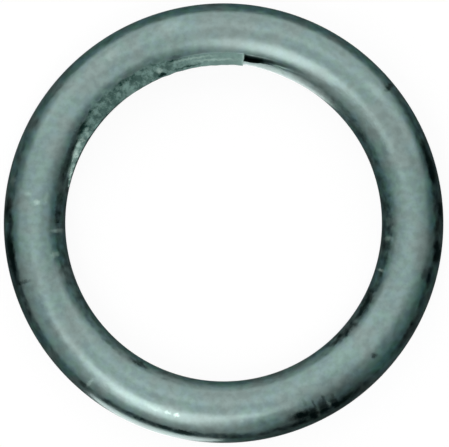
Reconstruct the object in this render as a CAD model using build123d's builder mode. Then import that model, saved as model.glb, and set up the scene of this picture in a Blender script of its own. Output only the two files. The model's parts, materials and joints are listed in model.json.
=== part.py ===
from build123d import *
import os
from math import asin, cos, degrees, radians, sin, sqrt, tan

# Retaining ring of an impact socket, moulded from rubber in one piece.
# It is stretched into the groove round the socket and covers both ends of the locking pin.
# The origin is the centre of the bore, in the ring's mid-plane, and +Z runs along the bore.
# Lengths are in millimetres. Azimuths are in degrees round the bore, from +X towards +Y.
# Section angles are in degrees above the mid-plane, on the bore's side of the round section.

# Ring
bore_diameter = 19.0
section_diameter = 3.7
land_height = 0.4  # narrow straight strip round the bore, where the mould's core sizes it

# Mould flash that the trimming left high on the inner flank
flash_thickness = 0.30
flash_root = 0.35  # how deep it runs into the round section
flash_droop = 16.0  # slope of the strip, down towards the bore
flash_setback = 0.05  # lean of its cut edge away from the bore, over the ring's thickness
flash_from = 83.0  # azimuth of its torn end
flash_to = 167.0  # azimuth of its low start
flash_rise = 15.0  # part of its arc over which it climbs from that start
flash_start_angle = 14.0
flash_rising_angle = 40.0
flash_full_angle = 52.0

# Nick at the torn end, a cleft that thins out along the ring
nick_angle = 43.0
nick_length = 22.0
nick_width = 0.32
nick_depth = 0.60
nick_overlap = 1.5  # how far it reaches back under the torn end
nick_wide_part = 0.30  # share of its length that stays wide
nick_tail = 0.15  # size of its far end, as a share of the wide end's

# Derived sizes
bore_radius = bore_diameter / 2
section_radius = section_diameter / 2
land_half_angle = degrees(asin(land_height / section_diameter))
centreline_radius = bore_radius + sqrt(section_radius**2 - (land_height / 2) ** 2)


def radial_plane(azimuth):
    """Half-plane from the bore's axis: local x is the radius and local y is the height."""
    out = Vector(cos(radians(azimuth)), sin(radians(azimuth)), 0)
    return Plane(origin=(0, 0, 0), x_dir=out, z_dir=out.cross(Vector(0, 0, 1)))


def inner_flank(section_angle):
    """Radius and height of a point on the round section, on the bore's side."""
    return (
        centreline_radius - section_radius * cos(radians(section_angle)),
        section_radius * sin(radians(section_angle)),
    )


def flash_corners(section_angle):
    """Corners of the flash where it leaves the flank at a section angle: deep root to far tip."""
    root_x, root_y = inner_flank(section_angle)
    slope = tan(radians(flash_droop))
    deep_x = root_x + flash_root
    tip_x = bore_radius - flash_thickness
    deep_y = root_y + flash_root * slope
    tip_y = root_y - (root_x - tip_x) * slope
    return (
        (deep_x, deep_y),
        (tip_x, tip_y),
        (tip_x, tip_y - flash_thickness),
        (deep_x, deep_y - flash_thickness),
    )


def nick_corners(size):
    """Corners of the cleft at a share of its full size: open above the flank, sharp at its foot."""
    mouth_x, mouth_y = inner_flank(nick_angle)
    half_width = size * nick_width / 2
    top_y = section_radius + half_width
    return (
        (mouth_x - half_width, top_y),
        (mouth_x - half_width, mouth_y - half_width),
        (mouth_x, mouth_y - size * nick_depth),
        (mouth_x + half_width, mouth_y + half_width),
        (mouth_x + half_width, top_y),
    )


# Flash: an even arc up to its torn end, and a start that climbs the flank.
# Its edge is cut along a cone just outside the bore, so that the bore stays free.
flash_start = (
    (flash_to - flash_rise, flash_full_angle),
    (flash_to - flash_rise / 2, flash_rising_angle),
    (flash_to, flash_start_angle),
)
with BuildPart() as flash:
    with BuildSketch(radial_plane(flash_from)):
        with BuildLine():
            Polyline(*flash_corners(flash_full_angle), close=True)
        make_face()
    revolve(axis=Axis.Z, revolution_arc=flash_to - flash_rise - flash_from)
    for azimuth, section_angle in flash_start:
        with BuildSketch(radial_plane(azimuth)):
            with BuildLine():
                Polyline(*flash_corners(section_angle), close=True)
            make_face()
    loft()
    Cone(bore_radius, bore_radius + flash_setback, section_diameter, mode=Mode.SUBTRACT)

# Nick: the wedge that was torn out, wide under the torn end and thin at its tail
nick_stations = (
    (flash_from + nick_overlap, 1.0),
    (flash_from - nick_wide_part * nick_length, 1.0 - nick_wide_part * (1.0 - nick_tail)),
    (flash_from - nick_length, nick_tail),
)
with BuildPart() as nick:
    for azimuth, size in nick_stations:
        with BuildSketch(radial_plane(azimuth)):
            with BuildLine():
                Polyline(*nick_corners(size), close=True)
            make_face()
    loft()

# Ring: a round section with one flat side, the land, turned about the bore
with BuildPart() as retaining_ring:
    with BuildSketch(radial_plane(0)):
        with BuildLine():
            CenterArc(
                (centreline_radius, 0),
                section_radius,
                180 + land_half_angle,
                360 - 2 * land_half_angle,
            )
            Line((bore_radius, -land_height / 2), (bore_radius, land_height / 2))
        make_face()
    revolve(axis=Axis.Z)
    add(flash.part)
    add(nick.part, mode=Mode.SUBTRACT)

retaining_ring.part.label = "retaining_ring"

os.makedirs("parts", exist_ok=True)
export_step(retaining_ring.part, "parts/retaining_ring.step")

box = retaining_ring.part.bounding_box()
print(f"bore {bore_diameter:.2f} mm, outside {box.size.X:.2f} mm, thickness {box.size.Z:.2f} mm")
print(f"volume {retaining_ring.part.volume:.1f} mm3 in {len(retaining_ring.part.solids())} solid")
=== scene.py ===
# %% [markdown]
# # A rubber retaining ring, seen from straight above
#
# This ring goes round an impact socket and keeps its locking pin in. It is one moulded piece:
# a round section turned into a ring, with a strip of mould flash left on its inner flank and a
# small nick where that strip was torn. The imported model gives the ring's true size and place,
# and everything below is built round it, in metres.

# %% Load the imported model
import json
from math import atan2, cos, degrees, hypot, pi, radians, sin, sqrt, tan

import bmesh
import bpy
from mathutils import Matrix, Vector, noise


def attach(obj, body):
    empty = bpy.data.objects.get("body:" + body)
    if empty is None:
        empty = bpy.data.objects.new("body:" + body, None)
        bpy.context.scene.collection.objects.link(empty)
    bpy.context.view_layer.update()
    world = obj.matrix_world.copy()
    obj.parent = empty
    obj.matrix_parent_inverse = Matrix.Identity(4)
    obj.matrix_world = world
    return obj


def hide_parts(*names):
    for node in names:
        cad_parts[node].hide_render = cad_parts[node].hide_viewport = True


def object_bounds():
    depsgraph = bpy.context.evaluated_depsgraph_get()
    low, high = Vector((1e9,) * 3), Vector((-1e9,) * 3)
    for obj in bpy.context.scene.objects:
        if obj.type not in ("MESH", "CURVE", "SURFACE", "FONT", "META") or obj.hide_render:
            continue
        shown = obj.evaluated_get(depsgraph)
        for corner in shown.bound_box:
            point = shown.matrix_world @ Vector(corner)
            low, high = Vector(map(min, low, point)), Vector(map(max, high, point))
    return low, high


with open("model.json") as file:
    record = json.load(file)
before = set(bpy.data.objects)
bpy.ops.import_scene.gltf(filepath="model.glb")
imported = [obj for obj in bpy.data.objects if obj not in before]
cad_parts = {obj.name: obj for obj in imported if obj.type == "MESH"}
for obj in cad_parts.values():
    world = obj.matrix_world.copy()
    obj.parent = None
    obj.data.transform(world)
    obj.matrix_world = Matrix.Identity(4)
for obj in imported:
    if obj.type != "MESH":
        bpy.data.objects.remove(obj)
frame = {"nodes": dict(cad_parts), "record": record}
cad_low, cad_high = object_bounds()
MM = 0.001
print("nodes", sorted(frame["nodes"]))
print("box in mm", [round(v / MM, 2) for v in (*cad_low, *cad_high)])

# %% [markdown]
# ## Sizes
#
# A ring of round section has three sizes: its bore, its section and the land, the narrow flat
# line where the mould's core met the bore. They could be typed in again, but read from the
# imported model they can't drift from it. The section comes from its box, and the bore and the
# land from the record, where they describe the mount that a socket would use.

# %% Sizes of the ring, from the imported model
bore = next(m for m in frame["record"]["mounts"] if m["name"] == "bore")
bore_radius = bore["dims"]["r_mm"] * MM
land_height = bore["dims"]["length_mm"] * MM
section_radius = (cad_high.z - cad_low.z) / 2
centreline_radius = bore_radius + sqrt(section_radius**2 - (land_height / 2) ** 2)
outer_radius = centreline_radius + section_radius
floor_height = cad_low.z
print("centreline radius in mm", round(centreline_radius / MM, 3))
print("section radius in mm", round(section_radius / MM, 3))

# %% [markdown]
# ## Camera
#
# The photograph looks straight down and shows no perspective: the far and the near flanks are
# equally wide. An orthographic camera would show that. A long lens from far away does the same,
# and still works as a plain camera from every other side. The frame's size and the ring's place
# in it are measured in the photograph's pixels, counted from the outer corner of the first one.

# %% Camera straight above the ring
PHOTO_WIDE, PHOTO_HIGH = 449, 447
RING_CENTRE_PX = (223.6, 223.1)
RING_WIDE_PX = 439.6
LENS, SENSOR = 300.0, 36.0  # millimetres
CLIP_NEAR, CLIP_FAR = 0.1, 10.0  # as shares of the camera's distance

pixel = 2 * outer_radius / RING_WIDE_PX
camera_x = (PHOTO_WIDE / 2 - RING_CENTRE_PX[0]) * pixel
camera_y = -(PHOTO_HIGH / 2 - RING_CENTRE_PX[1]) * pixel
camera_far = PHOTO_WIDE * pixel * LENS / SENSOR

camera_data = bpy.data.cameras.new("camera")
camera_data.lens = LENS
camera_data.sensor_width = SENSOR
camera_data.clip_start = camera_far * CLIP_NEAR
camera_data.clip_end = camera_far * CLIP_FAR
camera = bpy.data.objects.new("camera", camera_data)
camera.location = (camera_x, camera_y, camera_far)
bpy.context.scene.collection.objects.link(camera)
bpy.context.scene.camera = camera
bpy.context.scene.view_settings.view_transform = "Standard"
print("camera in mm", [round(v / MM, 2) for v in camera.location])
print("one pixel in mm", round(pixel / MM, 4))

# %% [markdown]
# ## Shader maths
#
# A finish is made of noises and masks that are added and multiplied. They could be wired up
# node by node, but a tree is easier to read as arithmetic. `Wire` wraps one output socket:
# adding two wires adds a Math node, and so on, and the reflected forms let a plain number stand
# on the left. `Tree.node` makes any node from its type, its settings and its inputs.


# %% A socket that can be added, multiplied and compared
class Wire:
    def __init__(self, tree, socket):
        self.tree = tree
        self.socket = socket

    def __add__(self, other):
        return self.tree.maths("ADD", self, other)

    def __sub__(self, other):
        return self.tree.maths("SUBTRACT", self, other)

    def __rsub__(self, other):
        return self.tree.maths("SUBTRACT", other, self)

    def __mul__(self, other):
        return self.tree.maths("MULTIPLY", self, other)

    def __truediv__(self, other):
        return self.tree.maths("DIVIDE", self, other)

    def __rtruediv__(self, other):
        return self.tree.maths("DIVIDE", other, self)

    def __pow__(self, other):
        return self.tree.maths("POWER", self, other)

    def __rpow__(self, other):
        return self.tree.maths("POWER", other, self)

    __radd__ = __add__
    __rmul__ = __mul__

    def between(self, low, high):
        """0 below low and 1 above high, with a soft step in between."""
        settings = {"interpolation_type": "SMOOTHSTEP"}
        return self.tree.node("ShaderNodeMapRange", settings, self, low, high, 0.0, 1.0)

    def clamped(self):
        return self.tree.node("ShaderNodeClamp", {}, self, 0.0, 1.0)

    def beside(self):
        """All the outputs of this one's node."""
        return [Wire(self.tree, socket) for socket in self.socket.node.outputs]


print("wires ready")


# %% A node tree that makes its nodes in one line each
class Tree:
    def __init__(self, owner):
        owner.use_nodes = True
        self.tree = owner.node_tree
        self.tree.nodes.clear()

    def node(self, kind, settings, *values, out=0, **named):
        """A node with its settings, then its inputs in order or by name. None skips an input."""
        made = self.tree.nodes.new(kind)
        for name, value in settings.items():
            if name == "stops":
                self.fill_ramp(made.color_ramp, value)
            else:
                setattr(made, name, value)
        by_name = {name.replace("_", " "): value for name, value in named.items()}
        for key, value in [*enumerate(values), *by_name.items()]:
            if isinstance(value, Wire):
                self.tree.links.new(value.socket, made.inputs[key])
            elif value is not None:
                made.inputs[key].default_value = value
        return Wire(self, made.outputs[out]) if len(made.outputs) else made

    def fill_ramp(self, ramp, stops):
        while len(ramp.elements) < len(stops):
            ramp.elements.new(0.5)
        for element, (position, colour) in zip(ramp.elements, stops):
            element.position = position
            element.color = colour

    def maths(self, operation, *values):
        return self.node("ShaderNodeMath", {"operation": operation}, *values)

    def mix(self, factor, first, second):
        """A colour between two others. A Mix node keeps its colour inputs behind five others."""
        settings = {"data_type": "RGBA"}
        skipped = (None,) * 5
        return self.node("ShaderNodeMix", settings, factor, *skipped, first, second, out=2)


print("shader maths ready")

# %% [markdown]
# ## Floor and background
#
# The photograph's background is plain white with no shadow to speak of, yet the ring's rims are
# dark, so nothing pale stood close around it. A white sheet would send light back up into the
# rims. So the floor shows white to the camera, with a trace of shadow, and is a dark matt sheet
# to every other ray. The world does the same behind it.

# %% Floor and world
FLOOR_SIZE = 1.2
FLOOR_DARK = (0.07, 0.07, 0.07, 1.0)
FLOOR_PALE = (0.9, 0.9, 0.9, 1.0)  # the sheet that takes the shadow
WHITE = (1.0, 1.0, 1.0, 1.0)
SHADOW_SHARE = 0.08
WORLD_DIM = 0.02

floor_mesh = bpy.data.meshes.new("floor")
sheet = bmesh.new()
bmesh.ops.create_grid(sheet, x_segments=1, y_segments=1, size=FLOOR_SIZE / 2)
bmesh.ops.translate(sheet, verts=sheet.verts, vec=(0, 0, floor_height))
sheet.to_mesh(floor_mesh)
sheet.free()
floor = bpy.data.objects.new("floor", floor_mesh)
bpy.context.scene.collection.objects.link(floor)

floor_material = bpy.data.materials.new("floor")
tree = Tree(floor_material)
seen = tree.node("ShaderNodeLightPath", {}, out="Is Camera Ray")
matt = tree.node("ShaderNodeBsdfDiffuse", {}, FLOOR_DARK)
pale = tree.node("ShaderNodeBsdfDiffuse", {}, FLOOR_PALE)
glow = tree.node("ShaderNodeEmission", {}, WHITE, 1.0)
shown = tree.node("ShaderNodeMixShader", {}, 1.0 - SHADOW_SHARE, pale, glow)
both = tree.node("ShaderNodeMixShader", {}, seen, matt, shown)
tree.node("ShaderNodeOutputMaterial", {}, both)
floor_mesh.materials.append(floor_material)

world = bpy.data.worlds.new("world")
bpy.context.scene.world = world
tree = Tree(world)
seen = tree.node("ShaderNodeLightPath", {}, out="Is Camera Ray")
dim = tree.node("ShaderNodeBackground", {}, WHITE, WORLD_DIM)
white = tree.node("ShaderNodeBackground", {}, WHITE, 1.0)
shown = tree.node("ShaderNodeMixShader", {}, seen, dim, white)
tree.node("ShaderNodeOutputWorld", {}, shown)
print("floor at", round(floor_height / MM, 3), "mm")

# %% [markdown]
# ## Lights
#
# A glossy ring is a mirror bent into a circle, so its bright and dark bands show where the
# lights stood. A single lamp would light it just as brightly, but with none of those bands. So
# soft boxes stand where the bands point to. The ceiling and a wall towards the top of the
# picture are broad and soft, and the wall reaches down to the horizon. The sides are dark low
# down, which gives the ring its dark limbs. A brighter box stands near the bottom edge, a little
# to the left, and small pale cards on the floor give the thin bright rims.

# %% Lamps that keep one brightness, whatever their size
LAMP_FAR = 0.25
KEY_NEAR, KEY_BEHIND = 0.11232, 0.12168  # apart, since lamps at one distance don't add up
CARD_LIFT = 0.03 * MM


def area_lamp(name, wide, high, radiance, shape="RECTANGLE"):
    """A lamp that the camera doesn't see; a radiance of 1 is the white of a sheet of paper."""
    data = bpy.data.lights.new(name, "AREA")
    data.shape = shape
    data.size = wide
    data.size_y = high
    data.energy = radiance * pi * wide * high * (pi / 4 if shape == "ELLIPSE" else 1)
    lamp = bpy.data.objects.new(name, data)
    lamp.rotation_mode = "QUATERNION"
    lamp.visible_camera = False
    bpy.context.scene.collection.objects.link(lamp)
    return lamp


def softbox(name, azimuth, zenith, wide, high, radiance, far=LAMP_FAR):
    """A rectangular lamp that faces the ring from a direction; it and the sizes in degrees."""
    level = sin(radians(zenith))
    out = Vector((
        level * cos(radians(azimuth)),
        level * sin(radians(azimuth)),
        cos(radians(zenith)),
    ))
    sizes = [2 * far * tan(radians(angle / 2)) for angle in (wide, high)]
    lamp = area_lamp(name, *sizes, radiance)
    lamp.rotation_quaternion = out.to_track_quat("Z", "Y")
    lamp.location = out * far
    return lamp


def floor_card(name, azimuth, radius, wide, deep, radiance):
    """A small bright card that lies on the floor beside the ring and faces up."""
    lamp = area_lamp(name, wide * MM, deep * MM, radiance, "ELLIPSE")
    turn = Matrix.Rotation(radians(azimuth - 90), 4, "Z") @ Matrix.Rotation(pi, 4, "X")
    lamp.rotation_quaternion = turn.to_quaternion()
    lamp.location = (
        radius * MM * cos(radians(azimuth)),
        radius * MM * sin(radians(azimuth)),
        floor_height + CARD_LIFT,
    )
    return lamp


print("lamps ready, softboxes", LAMP_FAR, "m away")

# %% Softboxes and cards
SOFTBOXES = (
    # name, azimuth, zenith, width and height in degrees, radiance, distance if not plain
    ("ceiling", 100, 4, 56, 57, 1.25),
    ("wall_high", 86, 44, 116, 34, 1.47),
    ("wall_low", 86, 73, 100, 28, 1.12),
    ("horizon", 90, 84, 110, 11, 1.2),
    ("left_fill", 168, 45, 40, 34, 1.05),
    ("left_low", 160, 73, 50, 28, 0.27),
    ("right_fill", 12, 42, 40, 28, 0.80),
    ("low_fill", 318, 51, 50, 38, 0.28),
    ("left_front", 216, 44, 34, 26, 0.35),
    ("key", 251, 38, 19, 20, 1.5, KEY_NEAR),
    ("key_wide", 251, 37, 22, 42, 3.8, KEY_BEHIND),
    ("front_low", 238, 68, 88, 36, 0.6),
)
FLOOR_CARDS = (
    # name, azimuth, distance from the middle, width and depth in mm, radiance
    ("card_outside", 250.5, 16.4, 11.0, 6.0, 2.5),
    ("card_inside", 74, 7.2, 7.0, 4.6, 2.3),
    ("card_bore", 270, 3.0, 9.0, 4.0, 0.36),
    ("card_top", 95, 4.0, 7.0, 3.0, 2.5),
)
lamps = [softbox(*row) for row in SOFTBOXES] + [floor_card(*row) for row in FLOOR_CARDS]
print("lamps", [(lamp.name, round(lamp.data.energy, 6)) for lamp in lamps])

# %% [markdown]
# ## The ring's body
#
# A moulded ring is a circle turned about an axis. Blender's own torus would do for a bare one,
# but its points are spread evenly, and this ring needs fine steps only round the flash and the
# nick. So `create_circle` makes the section, the side that faces the bore is pressed flat for
# the land, and `spin` turns it in two arcs, a fine one and a plain one.
#
# Two angles name any place on it: the azimuth round the bore, and the section angle, which is
# counted up from the mid-plane on the bore's side, so 90 is the top and 180 the far outside.

# %% Section and spin
ROW_STEP = 2.5  # degrees of section angle between rows of points
FINE_FROM, FINE_TO, FINE_STEP = 50.0, 185.0, 0.5  # degrees of azimuth
PLAIN_STEP = 1.25
MERGE = 0.001 * MM


def place(vert):
    """Azimuth, section angle and radius of a point, in degrees and metres."""
    radius = hypot(vert.co.x, vert.co.y)
    azimuth = degrees(atan2(vert.co.y, vert.co.x)) % 360
    return azimuth, degrees(atan2(vert.co.z, centreline_radius - radius)), radius


def set_radius(vert, radius):
    share = radius / hypot(vert.co.x, vert.co.y)
    vert.co.x *= share
    vert.co.y *= share


def ring_body():
    """The bare ring as a bmesh."""
    made = bmesh.new()
    points = round(360 / ROW_STEP)
    circle = bmesh.ops.create_circle(made, segments=points, radius=section_radius)["verts"]
    upright = Matrix.Translation((centreline_radius, 0, 0)) @ Matrix.Rotation(radians(90), 4, "X")
    to_start = Matrix.Rotation(radians(FINE_FROM), 4, "Z")
    bmesh.ops.transform(made, verts=circle, matrix=to_start @ upright)
    for vert in circle:
        if hypot(vert.co.x, vert.co.y) < bore_radius:
            set_radius(vert, bore_radius)
    profile = list(made.edges)
    for arc, step in ((FINE_TO - FINE_FROM, FINE_STEP), (360 - FINE_TO + FINE_FROM, PLAIN_STEP)):
        last = bmesh.ops.spin(
            made,
            geom=profile,
            cent=(0, 0, 0),
            axis=(0, 0, 1),
            angle=radians(arc),
            steps=round(arc / step),
            use_merge=False,
        )["geom_last"]
        profile = [g for g in last if isinstance(g, bmesh.types.BMEdge)]
    bmesh.ops.remove_doubles(made, verts=made.verts, dist=MERGE)
    bmesh.ops.recalc_face_normals(made, faces=made.faces)
    return made


ring = ring_body()
row_of, strip_of, crease_of, torn_of, end_glint_of, nick_shade_of = (
    ring.verts.layers.float.new(name)
    for name in ("row", "strip", "crease", "torn", "end", "nick")
)
for vert in ring.verts:
    vert[row_of] = round(place(vert)[1] / ROW_STEP) * ROW_STEP
print("body", len(ring.verts), "points", len(ring.faces), "faces")

# %% [markdown]
# ## Rows that follow the flash and the nick
#
# The flash is the thin web that the mould squeezes out, and here its trimming left a strip on the
# inner flank. Its outer line isn't at one height: it starts low, climbs, and ends high. The strip
# could be a second mesh, cut in with a boolean, but that leaves a ragged seam. Sliding the rows
# of points along the round section lets one band of faces follow that line instead, and past the
# torn end the same band narrows down to the nick. The section stays round, because each point
# only moves along it.

# %% Slide one band of rows to the strip and the nick
BAND_LOW, BAND_HIGH = 35.0, 52.5  # rows of the band, as section angles before they slide
STILL_LOW, STILL_HIGH = 7.5, 90.0  # rows from which on nothing slides
BAND_STATIONS = (
    # azimuth, lower and upper line of the band
    (50, 35.0, 52.5),
    (60, 44.0, 48.5),
    (66, 40.5, 51.0),
    (70, 39.0, 51.0),
    (74, 36.0, 50.5),
    (76.5, 33.5, 50.0),
    (78.5, 30.0, 50.0),
    (80, 28.5, 50.0),
    (83, 30.0, 50.5),
    (105, 34.0, 51.5),
    (120, 41.0, 59.0),
    (135, 42.0, 60.0),
    (150, 31.0, 47.0),
    (158, 20.0, 35.0),
    (163, 12.5, 25.0),
    (167, 8.5, 16.0),
    (185, 35.0, 52.5),
)


def along(stations, azimuth):
    """Values at an azimuth, eased from one station to the next."""
    if azimuth <= stations[0][0]:
        return stations[0][1:]
    for before, after in zip(stations, stations[1:]):
        if azimuth <= after[0]:
            share = (azimuth - before[0]) / (after[0] - before[0])
            share = share * share * (3 - 2 * share)
            return tuple(a + (b - a) * share for a, b in zip(before[1:], after[1:]))
    return stations[-1][1:]


def slid(row, low, high):
    """Section angle of a row, once the band lies between low and high."""
    ends = ((STILL_LOW, STILL_LOW), (BAND_LOW, low), (BAND_HIGH, high), (STILL_HIGH, STILL_HIGH))
    for (row_a, angle_a), (row_b, angle_b) in zip(ends, ends[1:]):
        if row <= row_b:
            return angle_a + (angle_b - angle_a) * (row - row_a) / (row_b - row_a)


for vert in ring.verts:
    azimuth = place(vert)[0]
    if STILL_LOW < vert[row_of] < STILL_HIGH and FINE_FROM < azimuth < FINE_TO:
        angle = radians(slid(vert[row_of], *along(BAND_STATIONS, azimuth)))
        set_radius(vert, centreline_radius - section_radius * cos(angle))
        vert.co.z = section_radius * sin(angle)
print("band stations", len(BAND_STATIONS))

# %% [markdown]
# ## Flash strip
#
# The strip is a thin shelf that droops towards the bore and ends in a cut edge. A flat ribbon
# laid on the ring would show a gap along its root. So the band of faces is extruded in short
# steps, which keeps it one surface with the ring, and each step's points are set a little nearer
# to the edge. Short steps also leave enough points for the lumps of torn rubber.

# %% Extrude the strip from the band
STRIP_FROM, STRIP_TO = 83.0, 167.0
STRIP_STEPS = 8
STRIP_DROOP = tan(radians(16))
EDGE_ROUND = 0.03 * MM
RAGGED_DEPTH, RAGGED_SIZE, RAGGED_SEED = 0.03 * MM, 0.5 * MM, 5.0
ARC_OF_DEGREE = 0.17 * MM  # about a degree's length along the bore
SLACK = 0.1  # degrees, so that rounding can't shift a limit by a column of points
EDGE_STATIONS = (
    # azimuth, how far the edge stands into the bore, thickness of the edge
    (83, 0.03 * MM, 0.26 * MM),
    (90, 0.07 * MM, 0.26 * MM),
    (120, 0.08 * MM, 0.24 * MM),
    (135, 0.02 * MM, 0.22 * MM),
    (152, 0.00 * MM, 0.20 * MM),
    (167, 0.00 * MM, 0.10 * MM),
)


def lumps(point, size, seed):
    """Smooth noise round 0 with lumps of a size in metres."""
    return noise.noise(Vector(point) / size + Vector((seed, 0, 0)))


def wander(azimuth, size, seed):
    """The same noise, but only along the ring."""
    return lumps((azimuth * ARC_OF_DEGREE, 0, 0), size, seed)


def strip_edge(azimuth, across):
    """Radius and height of the strip's edge; across runs from 0 below to 1 on top."""
    proud, thick = along(EDGE_STATIONS, azimuth)
    root = radians(along(BAND_STATIONS, azimuth)[1])
    root_radius = centreline_radius - section_radius * cos(root)
    ragged = wander(azimuth, RAGGED_SIZE, RAGGED_SEED) * RAGGED_DEPTH
    rounding = EDGE_ROUND * (2 * across - 1) ** 2
    radius = bore_radius - proud + ragged + rounding
    top = section_radius * sin(root) - (root_radius - bore_radius + proud) * STRIP_DROOP
    return radius, top - (1 - across) * thick


def in_band(face):
    azimuth, _, _ = place(min(face.verts, key=lambda v: place(v)[0]))
    middle = sum(v[row_of] for v in face.verts) / len(face.verts)
    inside = STRIP_FROM - SLACK < azimuth < STRIP_TO - SLACK
    return inside and BAND_LOW < middle < BAND_HIGH


band = [face for face in ring.faces if in_band(face)]
for step in range(STRIP_STEPS):
    grown = bmesh.ops.extrude_face_region(ring, geom=band)["geom"]
    bmesh.ops.delete(ring, geom=band, context="FACES")
    band = [g for g in grown if isinstance(g, bmesh.types.BMFace)]
    for vert in (g for g in grown if isinstance(g, bmesh.types.BMVert)):
        azimuth, _, radius = place(vert)
        across = (vert[row_of] - BAND_LOW) / (BAND_HIGH - BAND_LOW)
        edge_radius, edge_height = strip_edge(azimuth, across)
        share = 1 / (STRIP_STEPS - step)
        vert.co.z += (edge_height - vert.co.z) * share
        set_radius(vert, radius + (edge_radius - radius) * share)
        vert[strip_of] = 1.0
print("strip faces", len(band) * (STRIP_STEPS + 1), "all faces", len(ring.faces))

# %% [markdown]
# ## Lumps and crease
#
# Torn flash isn't flat: it has small lumps, and a crease along its outer line. A bump in the
# material would only shade it. Moving the points gives it a true relief, which also shows in the
# outline. The crease is kept as a value too, for a painted shade along it.

# %% Lumps and crease of the strip
LUMP_HEIGHT, LUMP_SIZE, LUMP_SEED = 0.014 * MM, 0.35 * MM, 1.0
LUMP_FADE = 0.1 * MM  # how far from the root the lumps reach their full height
CREASE_DEPTH, CREASE_WIDE = 0.015 * MM, 0.22 * MM
CREASE_ROW, CREASE_ROWS = 47.0, 5.0  # row where the crease begins, and rows over which it grows
START_FADE = 6.0  # degrees of azimuth over which the strip's low start stays smooth

for vert in ring.verts:
    if vert[strip_of] > 0:
        azimuth, _, radius = place(vert)
        root = radians(along(BAND_STATIONS, azimuth)[1])
        inward = centreline_radius - section_radius * cos(root) - radius
        on_top = max(0.0, min(1.0, (vert[row_of] - CREASE_ROW) / CREASE_ROWS))
        near_root = max(0.0, 1 - inward / CREASE_WIDE)
        start = min(1.0, (STRIP_TO - azimuth) / START_FADE)
        vert.co.z -= CREASE_DEPTH * near_root * on_top * start
        lump = lumps(vert.co, LUMP_SIZE, LUMP_SEED) * min(1.0, inward / LUMP_FADE)
        vert.co.z += LUMP_HEIGHT * lump * start
        vert[crease_of] = near_root * on_top
print("strip points", sum(1 for vert in ring.verts if vert[strip_of] > 0))

# %% [markdown]
# ## Where the rubber is torn
#
# The torn, matt skin isn't only on the strip: it frays out over the flank above it. It could be
# a material of its own, but then it would end in a hard line. So a value is painted that is full
# on the strip and fades over the rows above, for the rubber to break up with noise. A second
# value marks the torn end itself, whose cut edge is painted paler as a highlight.

# %% Paint the torn skin and the torn end
FRAY_ROWS = 12.5  # degrees of rows above the strip over which the tear fades
END_WIDE = 0.8  # degrees of azimuth
FRAY_STATIONS = (
    # azimuth, strength of the tear just above the strip
    (80, 0.00),
    (86, 0.26),
    (105, 0.34),
    (120, 0.55),
    (145, 0.55),
    (158, 0.30),
    (170, 0.00),
)
for vert in ring.verts:
    azimuth = place(vert)[0]
    (fray,) = along(FRAY_STATIONS, azimuth)
    above = (vert[row_of] - BAND_HIGH) / FRAY_ROWS
    if vert[strip_of] > 0:
        vert[torn_of] = 1.0
        # the torn end's cut edge, painted paler as a highlight
        vert[end_glint_of] = max(0.0, 1 - (azimuth - STRIP_FROM) / END_WIDE)
    elif 0 <= above < 1 and FRAY_STATIONS[0][0] < azimuth < FRAY_STATIONS[-1][0]:
        vert[torn_of] = fray * (1 - above)
print("torn points", sum(1 for vert in ring.verts if vert[torn_of] > 0))

# %% [markdown]
# ## Nick and bitten edge
#
# Where the strip tore off it took rubber with it: a short deep cleft that thins out into a crack,
# and a slight smooth bite out of the bore's edge beneath. Both could be cut with a boolean. They
# are pressed into the same rows instead, so that the surface stays closed and evenly divided.
# The cleft's inside is also painted black, as the shade that fills it.

# %% Press the nick and the bite into the flank
NICK_STATIONS = (
    # azimuth, depth of the cleft, painted black shade inside it
    (60.0, 0.00 * MM, 0.00),
    (66.0, 0.03 * MM, 0.35),
    (71.0, 0.08 * MM, 0.60),
    (75.0, 0.22 * MM, 0.82),
    (77.4, 0.46 * MM, 0.95),
    (79.3, 0.65 * MM, 1.00),
    (82.6, 0.65 * MM, 1.00),
    (83.0, 0.00 * MM, 0.00),
)
BITE_STATIONS = (
    # azimuth, depth of the bite at the bore
    (66.0, 0.00 * MM),
    (75.0, 0.05 * MM),
    (80.0, 0.09 * MM),
    (82.0, 0.09 * MM),
    (88.0, 0.00 * MM),
)
HOLLOW_POWER = 2.5  # the higher, the flatter the cleft's bottom and the steeper its sides
BITE_LOW = -40.0  # section angle down to which the bite reaches
BITE_WANDER, BITE_SIZE, BITE_SEED = 0.4, 0.25 * MM, 9.0
NICK_FROM = NICK_STATIONS[0][0]

for vert in ring.verts:
    azimuth, angle, radius = place(vert)
    in_rows = BAND_LOW <= vert[row_of] <= BAND_HIGH
    if in_rows and NICK_FROM < azimuth < STRIP_FROM - SLACK:
        cleft, black = along(NICK_STATIONS, azimuth)
        across = (vert[row_of] - BAND_LOW) / (BAND_HIGH - BAND_LOW)
        hollow = 1 - abs(2 * across - 1) ** HOLLOW_POWER
        vert.co.z -= cleft * hollow
        # painted shade: the cleft's inside is painted black
        vert[nick_shade_of] = hollow * black
    (bite,) = along(BITE_STATIONS, azimuth)
    bite *= 1 + BITE_WANDER * wander(azimuth, BITE_SIZE, BITE_SEED)
    on_edge = BITE_LOW < angle < BAND_LOW and vert[strip_of] == 0
    if on_edge and bite > 0 and radius < bore_radius + bite:
        set_radius(vert, bore_radius + bite)
print("nick points", sum(1 for vert in ring.verts if vert[nick_shade_of] > 0))

# %% [markdown]
# ## Wear and the mould's witness line
#
# A used rubber ring isn't a perfect torus: faint dents break up its highlights. On the outer
# flank underneath, a fine raised line shows where the two halves of the mould met, as on such
# rings in general. A Displace modifier could do the dents. The points are moved here instead, so
# that the land and the outermost rim can be left alone and the ring keeps its sizes.

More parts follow.
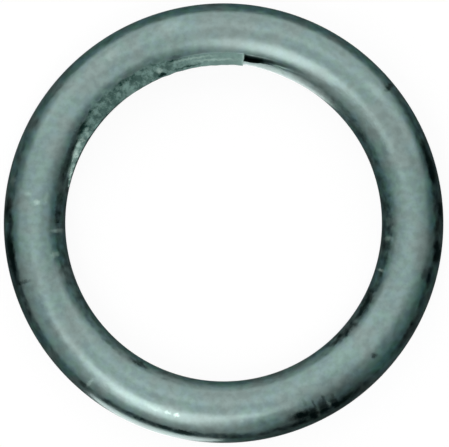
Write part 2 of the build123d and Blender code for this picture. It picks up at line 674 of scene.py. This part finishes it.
# %% Faint dents all over, and the witness line underneath
DENT_HEIGHT, DENT_SIZE, DENT_SEED = 0.012 * MM, 1.6 * MM, 3.0
WITNESS_ROW, WITNESS_HEIGHT = -135.0, 0.035 * MM
WITNESS_WANDER, WITNESS_SIZE, WITNESS_SEED = 0.4, 0.8 * MM, 7.0
LAND_CLEAR = 9.0  # degrees of section angle round the land
RIM_CLEAR, RIM_FADE = 0.1 * MM, 0.4 * MM

for vert in ring.verts:
    _, angle, radius = place(vert)
    height = DENT_HEIGHT * lumps(vert.co, DENT_SIZE, DENT_SEED)
    if vert[row_of] == WITNESS_ROW:
        wavering = 1 + WITNESS_WANDER * lumps(vert.co, WITNESS_SIZE, WITNESS_SEED)
        height = WITNESS_HEIGHT * wavering
    to_rim = outer_radius - RIM_CLEAR - radius
    if abs(angle) > LAND_CLEAR and vert[strip_of] == 0 and to_rim > 0:
        out = Vector((vert.co.x, vert.co.y, 0)).normalized() * -cos(radians(angle))
        out.z = sin(radians(angle))
        lift = height * min(1.0, to_rim / RIM_FADE)
        if abs(vert.co.z + out.z * lift) < section_radius:
            vert.co += out * lift
print("witness points", sum(1 for vert in ring.verts if vert[row_of] == WITNESS_ROW))

# %% [markdown]
# ## Hand the ring over
#
# The bmesh becomes a mesh object that rides on the part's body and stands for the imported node.
# Smooth shading alone would smear the light across the strip's cut edge, and flat shading would
# show every face, so all faces are smooth and only the sharp edges are marked.

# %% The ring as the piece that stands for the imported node
SHARP_FROM = 42  # degrees between two faces
ring_mesh = bpy.data.meshes.new("ring")
bmesh.ops.recalc_face_normals(ring, faces=ring.faces)
open_edges = sum(1 for edge in ring.edges if len(edge.link_faces) != 2)
for face in ring.faces:
    face.smooth = True
ring.to_mesh(ring_mesh)
ring_mesh.set_sharp_from_angle(angle=radians(SHARP_FROM))
print("open edges", open_edges, "volume in mm3", round(ring.calc_volume() / MM**3, 1))
print("triangles", sum(len(face.verts) - 2 for face in ring.faces))
ring.free()
ring_piece = bpy.data.objects.new("ring", ring_mesh)
bpy.context.scene.collection.objects.link(ring_piece)
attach(ring_piece, "root")
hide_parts("retaining_ring")

# %% [markdown]
# ## Rubber
#
# The rubber is dark grey-green right through, with a broad strong gloss on top: where it faces
# up it mirrors the ceiling and looks pale, and where it turns to the dark sides it falls off
# fast. A pale base colour would give the top its tone, but would leave the flanks pale too. So
# the base colour is dark, and the reflection is raised by the index of refraction and blurred by
# the roughness.
#
# Every pattern needs a place to hang on. The places come from the object's own coordinates: the
# distance from the bore's axis, the azimuth, and the place across the flank, which runs from -1
# at the bore to 1 outside. The marks and the painted shade of the limbs lie on the upper side,
# which the camera sees, so they fade in above the mid-plane.

# %% Places on the ring
FADE_IN = (0.05 * MM, 0.6 * MM)  # heights

rubber = bpy.data.materials.new("rubber")
tree = Tree(rubber)
here = tree.node("ShaderNodeTexCoord", {}, out="Object")
x, y, z = tree.node("ShaderNodeSeparateXYZ", {}, here).beside()
radius = (x * x + y * y) ** 0.5
azimuth = tree.maths("ARCTAN2", y, x) * (180 / pi)
flank = (radius - centreline_radius) / section_radius
over_arc = tree.maths("ARCTAN2", z, radius - centreline_radius) * section_radius
upper = z.between(*FADE_IN)
print("places ready")


# %% Values painted on the mesh, and noise
def painted(name):
    """A value painted on the mesh's points."""
    return tree.node("ShaderNodeAttribute", {"attribute_name": name}, out="Fac")


def grain(size, detail=3.0, rough=0.5, lift=0.0):
    """Noise around 0.5 with lumps of a size in metres; lift takes it from somewhere else."""
    moved = tree.node("ShaderNodeVectorMath", {"operation": "ADD"}, here, (lift, lift, lift))
    return tree.node(
        "ShaderNodeTexNoise", {}, moved, Scale=1 / size, Detail=detail, Roughness=rough, out="Fac"
    )


mottle = grain(0.44 * MM, 4.0, 0.52)
tone = grain(0.50 * MM, 3.0, 0.55, lift=0.03)
patches = grain(1.6 * MM, 3.0, 0.5, lift=0.02)
fine = grain(0.12 * MM, 2.0, 0.6, lift=0.05)
speck = grain(0.22 * MM, 3.0, 0.6, lift=0.04)
blotch = grain(0.40 * MM, 5.0, 0.70, lift=0.06)
print("noises ready")

# %% [markdown]
# ## Marks of use, and painted highlights and shade
#
# Dirt and scuffs sit where the photograph shows them: a black smear low on the right, a few dark
# spots, pale flecks, and short ticks across the inner limb. A painted picture would need a file
# beside the script. Here each mark is an ellipse laid on the ring, named by its azimuth and by
# its place across the flank. Noise pushes that place about before it is measured, so that no
# mark has a drawn edge.
# Some marks are painted highlights and painted shade: glints and pale patches in the highlights,
# glints on the ticks' small burrs, dark spots and lines that deepen the dark limbs, the dark line
# under the highlight, and the shadow along the strip's outer line.

# %% A mark, and the strongest of many
PUSH, PUSH_SIZE = 0.36 * MM, 0.24 * MM
push_along = (grain(PUSH_SIZE, 4.0, 0.65, lift=0.011) - 0.5) * PUSH
push_over = (grain(PUSH_SIZE, 4.0, 0.65, lift=0.017) - 0.5) * PUSH


def mark(at, across, long, wide, strength, soft=0.55):
    """A soft ragged ellipse: long runs round the ring and wide across it, in millimetres."""
    along_ring = ((azimuth - at) * radius * (pi / 180) + push_along) / (long * MM)
    over_ring = ((flank - across) * section_radius + push_over) / (wide * MM)
    reach = (along_ring * along_ring + over_ring * over_ring) ** 0.5
    return (1 - reach.between(1 - soft, 1 + soft)) * strength


def strongest(marks):
    total = mark(*marks[0])
    for each in marks[1:]:
        total = tree.maths("MAXIMUM", total, mark(*each))
    return total * upper


print("a mark's edge wanders by", PUSH / MM, "mm")

# %% Dark marks
DARK_MARKS = (
    # azimuth, place across, half length and half width in mm, strength, softness if not plain
    # The smear low on the right: dirt, and painted shade where its rows run out onto the limb.
    (-67.8, 0.56, 0.85, 0.32, 1.0, 0.7),
    (-64.7, 0.64, 0.38, 0.50, 0.95, 0.6),
    (-61.4, 0.58, 0.38, 0.48, 0.9, 0.6),
    (-58.3, 0.68, 0.30, 0.46, 0.9, 0.6),
    (-63.5, 0.76, 2.40, 0.32, 0.62, 0.9),
    (-54.5, 0.76, 1.50, 0.32, 0.7, 0.9),
    (-55.8, 0.78, 0.44, 0.26, 0.6, 0.8),
    (-66.0, 0.86, 1.30, 0.22, 0.40, 0.9),
    (-61.0, 0.90, 1.80, 0.22, 0.40, 0.9),
    (-65.7, 0.20, 0.12, 0.34, 0.45, 0.8),
    (-63.5, 0.42, 0.11, 0.40, 0.8, 0.7),
    (-60.4, 0.36, 0.14, 0.30, 0.75, 0.7),
    (-57.8, 0.48, 0.13, 0.28, 0.7, 0.7),
    (-56.0, 0.40, 1.50, 0.46, 0.36, 0.9),
    (-63.0, 0.45, 1.10, 0.40, 0.42, 0.9),
    (-58.5, 0.13, 2.40, 0.42, 0.38, 0.95),
    # Rows at 0.8 across and further out paint shade into the dark outer limb; the three from
    # -100.8 to -115.0 paint the dark line under the highlight.
    (-75.0, 0.82, 1.20, 0.28, 0.4),
    (-48.4, 0.28, 0.20, 0.28, 0.3),
    (-41.4, 0.32, 0.20, 0.17, 0.8),
    (-14.2, 0.60, 0.42, 0.30, 0.6),
    (-8.0, 0.84, 0.60, 0.22, 0.7),
    (-30.0, 0.82, 1.40, 0.20, 0.5),
    (3.2, 0.90, 0.50, 0.16, 0.6),
    (16.0, 0.80, 1.10, 0.22, 0.5),
    (39.4, 0.80, 0.17, 0.30, 0.8),
    (-100.8, 0.75, 0.60, 0.13, 0.9),
    (-105.8, 0.73, 0.50, 0.10, 0.7),
    (-115.0, 0.70, 0.80, 0.10, 0.6),
    (-163.5, 0.60, 0.12, 0.36, 0.5),
    (-172.0, 0.80, 1.10, 0.24, 0.6),
    (177.0, 0.84, 0.70, 0.20, 0.5),
    # Rows from -0.78 to -0.90 across paint shade into the dark inner limb. The four from 160.5 to
    # 141.5, and 106.4 and 126.0, paint the shadow along the strip's outer line; the broad one at
    # 112.0 is painted shade that dims the lit flank.
    (-29.0, -0.84, 1.10, 0.16, 0.7),
    (-43.0, -0.84, 0.90, 0.16, 0.7),
    (-121.0, -0.84, 0.60, 0.12, 0.7),
    (160.5, -0.70, 1.10, 0.18, 0.7, 0.8),
    (153.5, -0.67, 1.00, 0.16, 0.7, 0.8),
    (147.2, -0.61, 0.80, 0.18, 0.7, 0.8),
    (141.5, -0.51, 0.50, 0.14, 0.35, 0.8),
    (102.5, -0.95, 0.70, 0.05, 0.5, 0.8),
    (112.0, -0.20, 3.40, 0.34, 0.12, 0.9),
    (78.7, -0.97, 0.20, 0.04, 0.30, 0.9),
    (73.4, -0.98, 0.34, 0.04, 0.30, 0.9),
    (176.0, -0.78, 1.60, 0.18, 0.5),
    (112.2, -0.96, 0.17, 0.10, 0.8, 0.8),
    (106.4, -0.60, 0.42, 0.16, 0.4),
    (126.0, -0.54, 0.60, 0.14, 0.35),
    (34.0, -0.84, 1.40, 0.16, 0.4),
    (54.0, -0.90, 1.60, 0.10, 0.3, 0.9),
)
dirt_and_shade = strongest(DARK_MARKS)
print("dark marks", len(DARK_MARKS))

# %% Pale marks
PALE_MARKS = (
    (173.6, -0.08, 0.13, 0.15, 0.42, 0.95),
    (171.5, 0.24, 0.11, 0.17, 0.20, 0.95),
    (174.6, 0.80, 0.28, 0.08, 0.22, 0.9),
    (168.6, 0.80, 0.28, 0.10, 0.22, 0.9),
    (172.0, -0.36, 0.30, 0.11, 0.16, 0.9),
    # Ticks across the inner limb: small burrs, with painted glints on them.
    (-5.3, -0.78, 0.12, 0.22, 0.22, 0.8),
    (-16.7, -0.84, 0.07, 0.16, 0.5, 0.8),
    (-177.4, -0.74, 0.12, 0.34, 0.30),
    (-169.5, -0.60, 0.14, 0.22, 0.25),
    (-63.6, 0.70, 0.11, 0.24, 0.35),
    (-59.8, 0.60, 0.09, 0.24, 0.35),
    (-130.0, 0.60, 0.09, 0.32, 0.3),
    # Glints and pale patches in the highlight low on the left: painted highlight.
    (-103.7, 0.23, 0.13, 0.09, 0.95, 0.8),
    (-106.5, 0.24, 0.17, 0.08, 0.6, 0.9),
    (-110.4, 0.24, 0.45, 0.12, 0.30, 0.9),
    (-120.8, 0.25, 0.80, 0.13, 0.16, 0.9),
    # Pale patches in the broad highlight on the upper flank: painted highlight.
    (123.0, 0.40, 0.50, 0.24, 0.14),
    (105.0, 0.44, 0.80, 0.24, 0.14),
    (41.0, 0.36, 0.70, 0.24, 0.12),
    (112.8, -0.80, 0.14, 0.14, 0.4, 0.9),
    (100.5, -0.72, 1.00, 0.06, 0.24, 0.9),
    (93.0, -0.84, 1.10, 0.06, 0.24, 0.9),
    (155.0, -0.84, 0.30, 0.16, 0.5),
    (151.5, -0.80, 0.22, 0.14, 0.45),
    (161.5, -0.90, 0.30, 0.12, 0.4),
)
scuff_and_glint = strongest(PALE_MARKS)
print("pale marks", len(PALE_MARKS))

# %% [markdown]
# ## Painted shade on the limbs
#
# The steep flanks are darkened low down with painted shade, in soft patches that run along them,
# and more on some parts of the ring than on others. A single noise would spread it evenly. So a
# table says how much lies where, and is turned into a colour ramp along the azimuth: red is the
# shade outside, green the shade on the bore's side, and blue keeps the outermost rim free of it.
# The noise is measured along the surface, so that its patches don't run down the sides like
# drips.

# %% How much painted shade lies where
LIMB_SHADE_STATIONS = (
    # azimuth, shade outside, shade on the bore's side, rim kept free of it
    (-180, 0.42, 0.24, 0.3),
    (-165, 0.52, 0.24, 0.2),
    (-150, 0.22, 0.24, 0.3),
    (-138, 0.15, 0.18, 0.2),
    (-128, 0.30, 0.18, 1.0),
    (-110, 0.50, 0.08, 1.0),
    (-92, 0.44, 0.04, 1.0),
    (-80, 0.30, 0.00, 0.7),
    (-60, 0.30, 0.03, 0.7),
    (-45, 0.16, 0.24, 0.6),
    (-30, 0.22, 0.30, 0.6),
    (-15, 0.40, 0.30, 0.4),
    (0, 0.44, 0.36, 0.2),
    (15, 0.52, 0.28, 0.3),
    (30, 0.28, 0.14, 0.3),
    (45, 0.12, 0.10, 0.3),
    (60, 0.06, 0.00, 0.0),
    (120, 0.08, 0.00, 0.0),
    (150, 0.15, 0.20, 0.3),
    (165, 0.22, 0.18, 0.4),
    (172, 0.32, 0.28, 0.3),
    (180, 0.42, 0.24, 0.3),
)
stops = [((a + 180) / 360, (*amounts, 1.0)) for a, *amounts in LIMB_SHADE_STATIONS]
ramp = tree.node("ShaderNodeValToRGB", {"stops": stops}, (azimuth + 180) / 360)
outside, inside, rim_unshaded = tree.node("ShaderNodeSeparateColor", {}, ramp).beside()
print("grime stations", len(LIMB_SHADE_STATIONS))

# %% Patches of painted shade on the limbs
PATCH_SIZE, PATCH_SQUEEZE = 0.55 * MM, 1.3
PATCHINESS = 0.95
LIMB = (0.48, 0.76)  # places across the flank between which it turns steep, on either side
OUTER_RIM = (0.78, 0.88)
SIDES = (-0.1, 0.1)  # where the bore's side passes into the outside

along_x = x / radius * centreline_radius
along_y = y / radius * centreline_radius
surface = tree.node("ShaderNodeCombineXYZ", {}, along_x, along_y, over_arc * PATCH_SQUEEZE)
shade_patches = tree.node(
    "ShaderNodeTexNoise", {}, surface, Scale=1 / PATCH_SIZE, Detail=4.0, out="Fac"
)
amount = inside + (outside - inside) * flank.between(*SIDES)
limb = tree.maths("ABSOLUTE", flank).between(*LIMB)
# painted shade: it darkens the steep limbs, in patches
limb_shade = ((shade_patches - 0.5) * PATCHINESS + amount + limb * 0.9 - 0.9).between(0.0, 0.7) * upper
limb_shade = limb_shade * (1 - rim_unshaded * flank.between(*OUTER_RIM))
print("grime ready")

# %% [markdown]
# ## Torn skin
#
# The strip of flash is torn rubber, so it is matt and paler than the moulded skin, with flecks at
# its low start and dark mottling along its middle. The painted value alone would end in a smooth
# line. Noise is added to it first and the sum is then cut off, which frays the edge. Wear is
# softer: the same noises darken the rubber a little, all over the ring, and a painted shade
# darkens the strip's crease a little more.

# %% Torn skin, its flecks and its mottling, wear, and painted shade in the crease
FLECKS = (140, 157)  # azimuths between which they come up
MOTTLING_IN, MOTTLING_OUT = (88, 116), (143, 156)  # and between which this comes and goes

torn = ((mottle - 0.5) * 1.3 + painted("torn")).between(0.28, 0.58)
flecked = torn * azimuth.between(*FLECKS) * speck.between(0.50, 0.62)
mottled = torn * azimuth.between(*MOTTLING_IN) * (1 - azimuth.between(*MOTTLING_OUT))
patchy = mottled * (0.10 + blotch.between(0.38, 0.60) * 0.62)
# the nick's inside, painted black as its shade
nick = painted("nick")
limb_shade = limb_shade * (1 - torn * 0.8)
wear_and_crease_shade = (0.66 - mottle).between(0.0, 0.32) * 0.28 + patches.between(0.36, 0.62) * 0.08
# painted shade along the strip's crease
wear_and_crease_shade = wear_and_crease_shade + painted("crease") * 0.06
print("torn skin ready")

# %% [markdown]
# ## Colour
#
# The rubber's colour wanders between a greener, a bluer and a greyer tone in patches of a few
# tenths of a millimetre. One ramp could hold all the tones, but not the order in which they lie
# on each other. So each layer is mixed over the ones before it: rubber, torn skin with a painted
# highlight on its torn end, wear with painted shade in the crease, painted shade on the limbs,
# scuffs with painted highlights and glints, dirt with painted shade, and the nick's painted black
# shade last.

# %% Colours, one layer over another
GREEN = (0.024, 0.094, 0.068, 1.0)
BLUE = (0.026, 0.082, 0.096, 1.0)
GREY = (0.050, 0.084, 0.078, 1.0)
STRIP = (0.050, 0.130, 0.108, 1.0)
DEEP = (0.004, 0.034, 0.027, 1.0)
# PALE also paints highlights: on the torn end's edge and among the pale marks
PALE = (0.420, 0.560, 0.500, 1.0)
# BLACK also paints shade: in the crease, on the limbs, beside the strip and in the nick
BLACK = (0.002, 0.007, 0.007, 1.0)
# the colour of the painted shade on the limbs, together with BLACK
SHADE_TEAL = (0.004, 0.020, 0.024, 1.0)

colour = tree.mix(tone.between(0.36, 0.64), GREEN, BLUE)
limb_shade_colour = tree.mix(tone.between(0.36, 0.56), BLACK, SHADE_TEAL)
layers = (
    # how much of it, and its colour
    (patches.between(0.40, 0.66), GREY),
    (torn, STRIP),
    (patchy, DEEP),
    (flecked * 0.75, PALE),
    # the torn end's cut edge: a painted highlight
    (painted("end") * 0.5, PALE),
    # wear, with painted shade in the strip's crease
    (wear_and_crease_shade.clamped(), BLACK),
    # painted shade on the limbs
    (limb_shade * 0.92, limb_shade_colour),
    # scuffs, with painted highlights and glints
    (scuff_and_glint, PALE),
    # dirt, with painted shade on the limbs and beside the strip
    (dirt_and_shade, BLACK),
    # the nick's painted black shade
    (nick, BLACK),
)
for share, layer in layers:
    colour = tree.mix(share, colour, layer)
print("colour layers", len(layers))

# %% [markdown]
# ## Gloss and grain
#
# Torn skin and dirt mirror less than clean rubber, and so do the painted shade of the limbs, of
# the strip's crease and of the nick, so that they stay dark. The shader's own reflection strength
# stays one number here. So those places are mixed towards a metal instead: a metal mirrors in its
# own colour, and a black one mirrors next to nothing. The fine grain is too small to model and is
# a bump, in millimetres.

# %% The finish
ROUGHNESS = 0.33
REFRACTION = 2.6
MIRROR_TINT = (0.81, 1.0, 0.96, 1.0)

# dirt, and the painted shade on the limbs, in the crease and in the nick, mirror less so that
# they stay dark
swallowed = wear_and_crease_shade * 0.5 + limb_shade * 0.75 + torn * 0.25 + patchy * 0.62 + dirt_and_shade * 0.86 + nick
roughness = ROUGHNESS + (mottle - 0.5) * 0.16 + (patches - 0.5) * 0.10
roughness = roughness + torn * 0.27 + dirt_and_shade * 0.25 + nick * 0.5
relief = mottle * 0.005 + fine * 0.0015 + torn * speck * 0.012
bump = tree.node("ShaderNodeBump", {}, Strength=1.0, Distance=MM, Height=relief)
shader = tree.node(
    "ShaderNodeBsdfPrincipled",
    {},
    Base_Color=colour,
    Metallic=swallowed.clamped(),
    Roughness=roughness.clamped(),
    IOR=REFRACTION,
    Specular_Tint=MIRROR_TINT,
    Normal=bump,
)
tree.node("ShaderNodeOutputMaterial", {}, shader)
ring_mesh.materials.append(rubber)
print("rubber nodes", len(rubber.node_tree.nodes))
